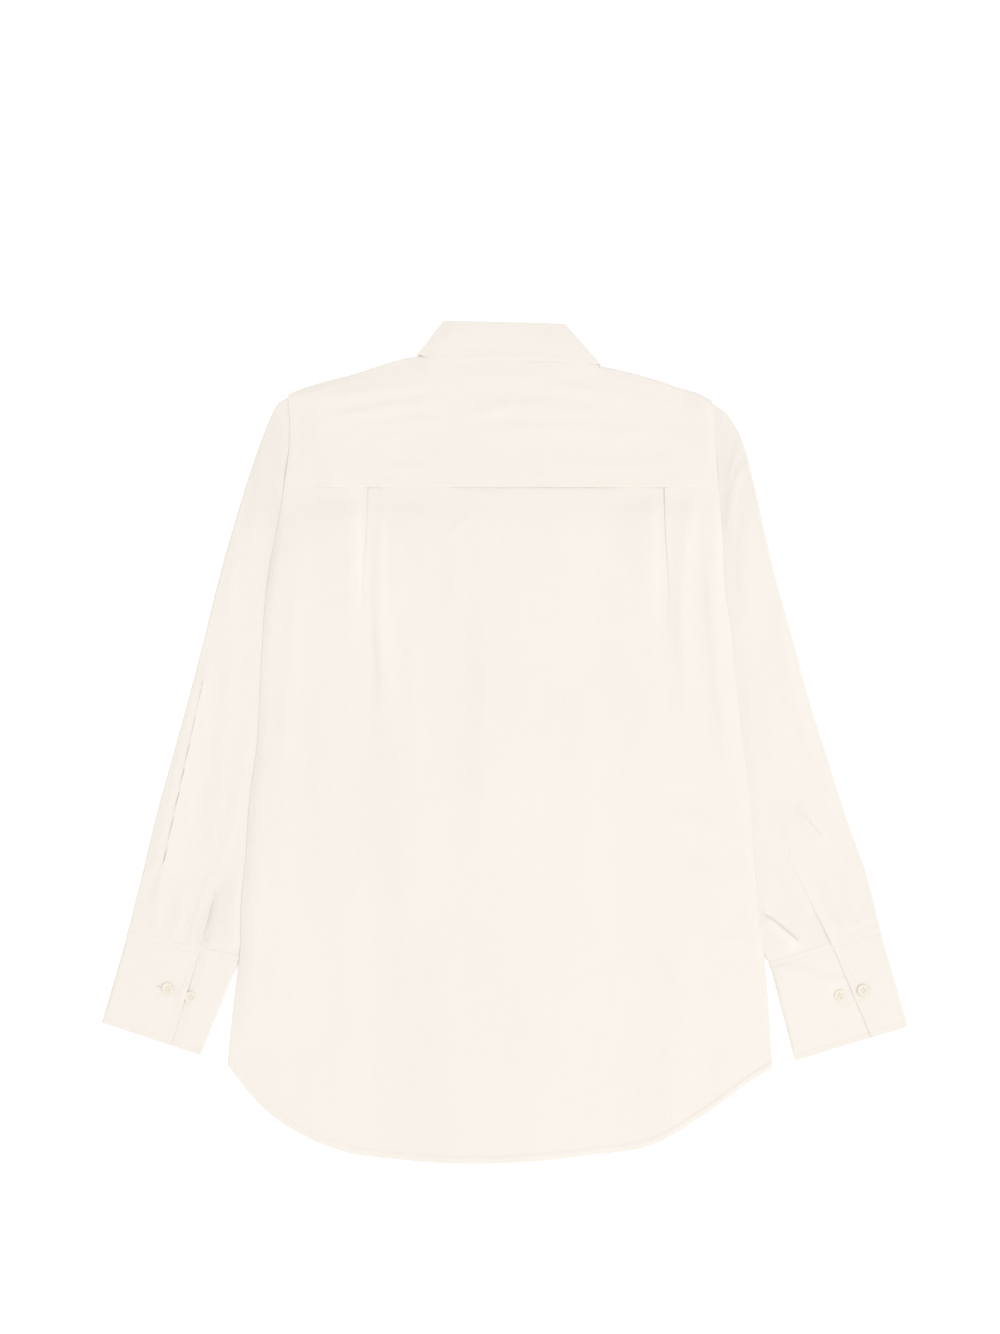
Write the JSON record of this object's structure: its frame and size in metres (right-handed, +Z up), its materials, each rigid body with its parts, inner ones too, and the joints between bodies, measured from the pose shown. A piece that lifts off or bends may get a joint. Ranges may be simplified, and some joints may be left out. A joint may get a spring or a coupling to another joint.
{
  "type": "cotton blouse",
  "caption": "Long-sleeved cotton shirt blouse with a point collar, back yoke with pleats, buttoned cuffs and a curved shirt-tail hem, laid flat on its front.",
  "frame": {"origin": "middle of the blouse's footprint on the surface it lies on", "axes": "+Z up out of the back of the blouse, +Y from the hem to the collar, +X to the wearer's right"},
  "size_m": [0.7634, 0.7997, 0.0067],
  "materials": {
    "cotton": "plain-woven cream cotton, matt with a faint sheen",
    "button": "cream four-hole shirt button, softly polished"
  },
  "bodies": {
    "root": {"back_panel": "cotton", "back_yoke": "cotton", "front_left": "cotton", "front_right": "cotton", "button_band_left": "cotton", "button_band_right": "cotton", "collar_stand": "cotton", "collar_fall": "cotton", "sleeve_left": "cotton", "sleeve_right": "cotton", "cuff_left": "cotton", "cuff_right": "cotton", "sleeve_placket_left": "cotton", "sleeve_placket_right": "cotton", "button_collar": "button", "button_front_1": "button", "button_front_2": "button", "button_front_3": "button", "button_front_4": "button", "button_front_5": "button", "button_front_6": "button", "button_front_7": "button", "button_cuff_left_1": "button", "button_cuff_left_2": "button", "button_cuff_right_1": "button", "button_cuff_right_2": "button"}
  },
  "joints": []
}
